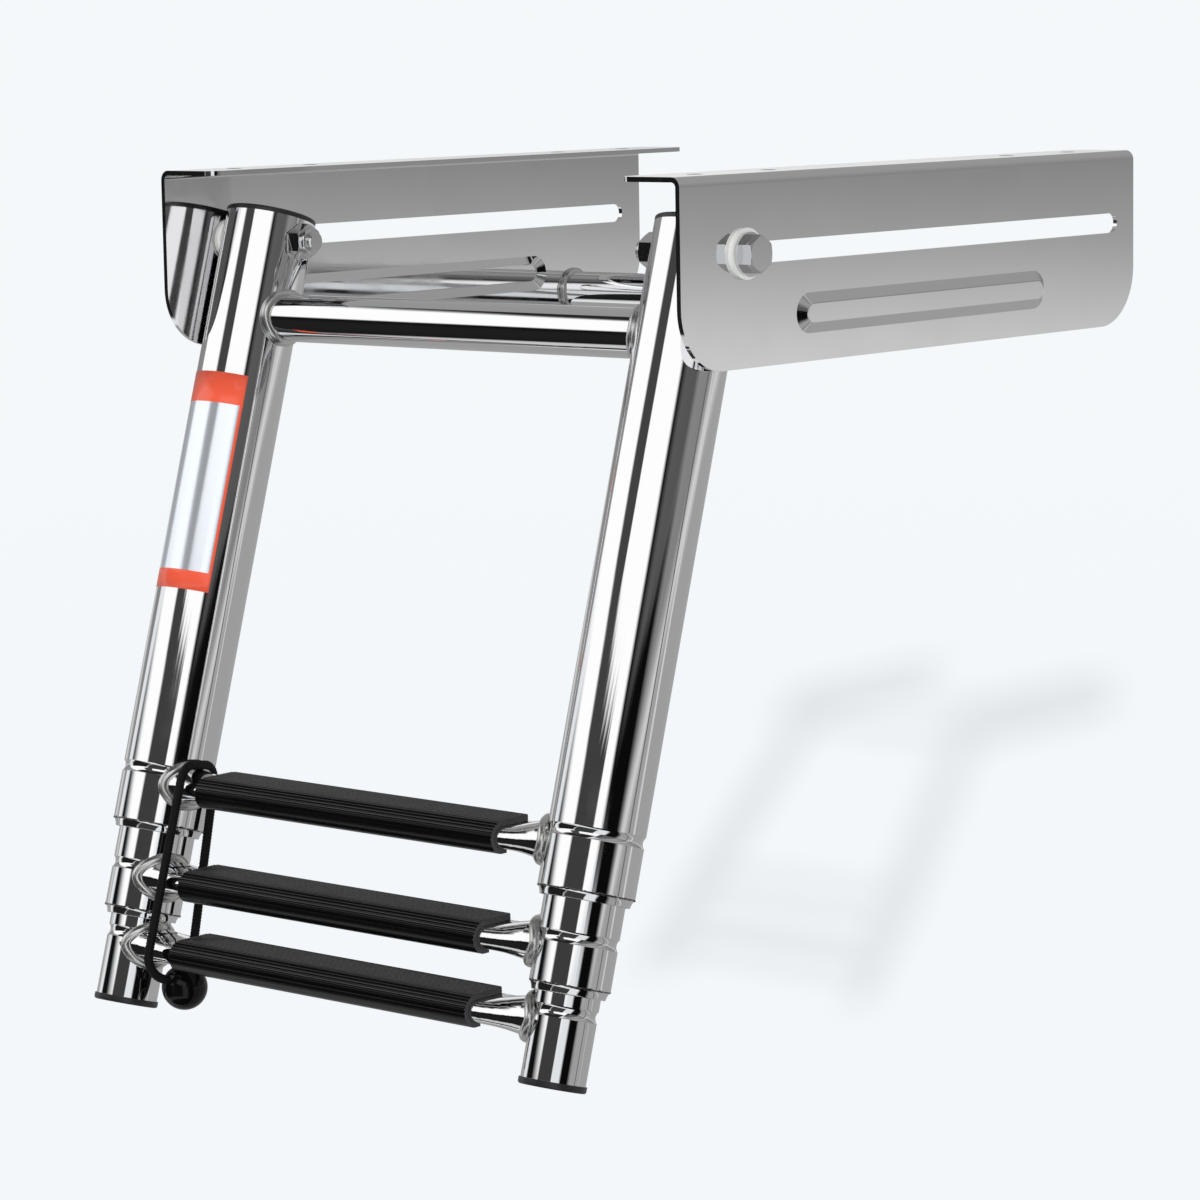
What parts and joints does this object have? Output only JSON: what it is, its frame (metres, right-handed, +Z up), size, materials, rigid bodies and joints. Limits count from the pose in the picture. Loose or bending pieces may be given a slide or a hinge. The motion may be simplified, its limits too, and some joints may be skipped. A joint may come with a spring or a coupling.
{
  "type": "under-platform boat ladder",
  "caption": "Telescoping boarding ladder that swings down and slides back under a swim platform on slotted side brackets.",
  "frame": {"origin": "middle of the top face of the left bracket's flange, which bolts up against the platform", "axes": "+Z up, +Y back under the platform, -Y out towards the water, +X from the left bracket to the right one"},
  "size_m": [0.2981, 0.3806, 0.3473],
  "materials": {
    "polished_steel": "mirror polished stainless steel",
    "black_plastic": "satin black moulded plastic",
    "white_nylon": "plain natural nylon",
    "black_rubber": "smooth black rubber",
    "black_cord": "black braided elastic cord"
  },
  "bodies": {
    "brackets": {"left_bracket": "polished_steel", "right_bracket": "polished_steel", "bracket_crossbar": "polished_steel"},
    "carriage": {"left_pivot_bolt": "polished_steel", "right_pivot_bolt": "polished_steel", "left_nylon_washer": "white_nylon", "right_nylon_washer": "white_nylon", "left_steel_washer": "polished_steel", "right_steel_washer": "polished_steel", "left_leg_spacer": "white_nylon", "right_leg_spacer": "white_nylon", "left_lock_nut": "polished_steel", "right_lock_nut": "polished_steel"},
    "outer_frame": {"left_outer_tube": "polished_steel", "right_outer_tube": "polished_steel", "left_top_cap": "black_plastic", "right_top_cap": "black_plastic", "left_outer_guide": "white_nylon", "right_outer_guide": "white_nylon", "ladder_crossbar": "polished_steel", "top_rung": "polished_steel", "top_tread": "black_plastic", "bungee_cord": "black_cord"},
    "middle_frame": {"left_middle_tube": "polished_steel", "right_middle_tube": "polished_steel", "left_middle_bush": "white_nylon", "right_middle_bush": "white_nylon", "left_middle_guide": "white_nylon", "right_middle_guide": "white_nylon", "middle_rung": "polished_steel", "middle_tread": "black_plastic"},
    "inner_frame": {"left_inner_tube": "polished_steel", "right_inner_tube": "polished_steel", "left_inner_bush": "white_nylon", "right_inner_bush": "white_nylon", "left_foot_cap": "black_plastic", "right_foot_cap": "black_plastic", "bottom_rung": "polished_steel", "bottom_tread": "black_plastic", "stopper_ball": "black_rubber"}
  },
  "joints": [
    {"name": "carriage_slide", "type": "slide", "parent": "brackets", "child": "carriage", "axis": [0, 1, 0], "range_m": [0, 0.255]},
    {"name": "ladder_swing", "type": "hinge", "parent": "carriage", "child": "outer_frame", "pos_m": [0.12525, -0.1165, -0.0307], "axis": [-1, 0, 0], "range_deg": [0, 73]},
    {"name": "middle_slide", "type": "slide", "parent": "outer_frame", "child": "middle_frame", "axis": [0, -0.2924, -0.9563], "range_m": [0, 0.198], "deforming": ["bungee_cord"]},
    {"name": "inner_slide", "type": "slide", "parent": "middle_frame", "child": "inner_frame", "axis": [0, -0.2924, -0.9563], "range_m": [0, 0.208]}
  ],
  "couplings": [
    {"joint": "carriage_slide", "follows": "ladder_swing", "m_per_rad": 0.2001}
  ]
}
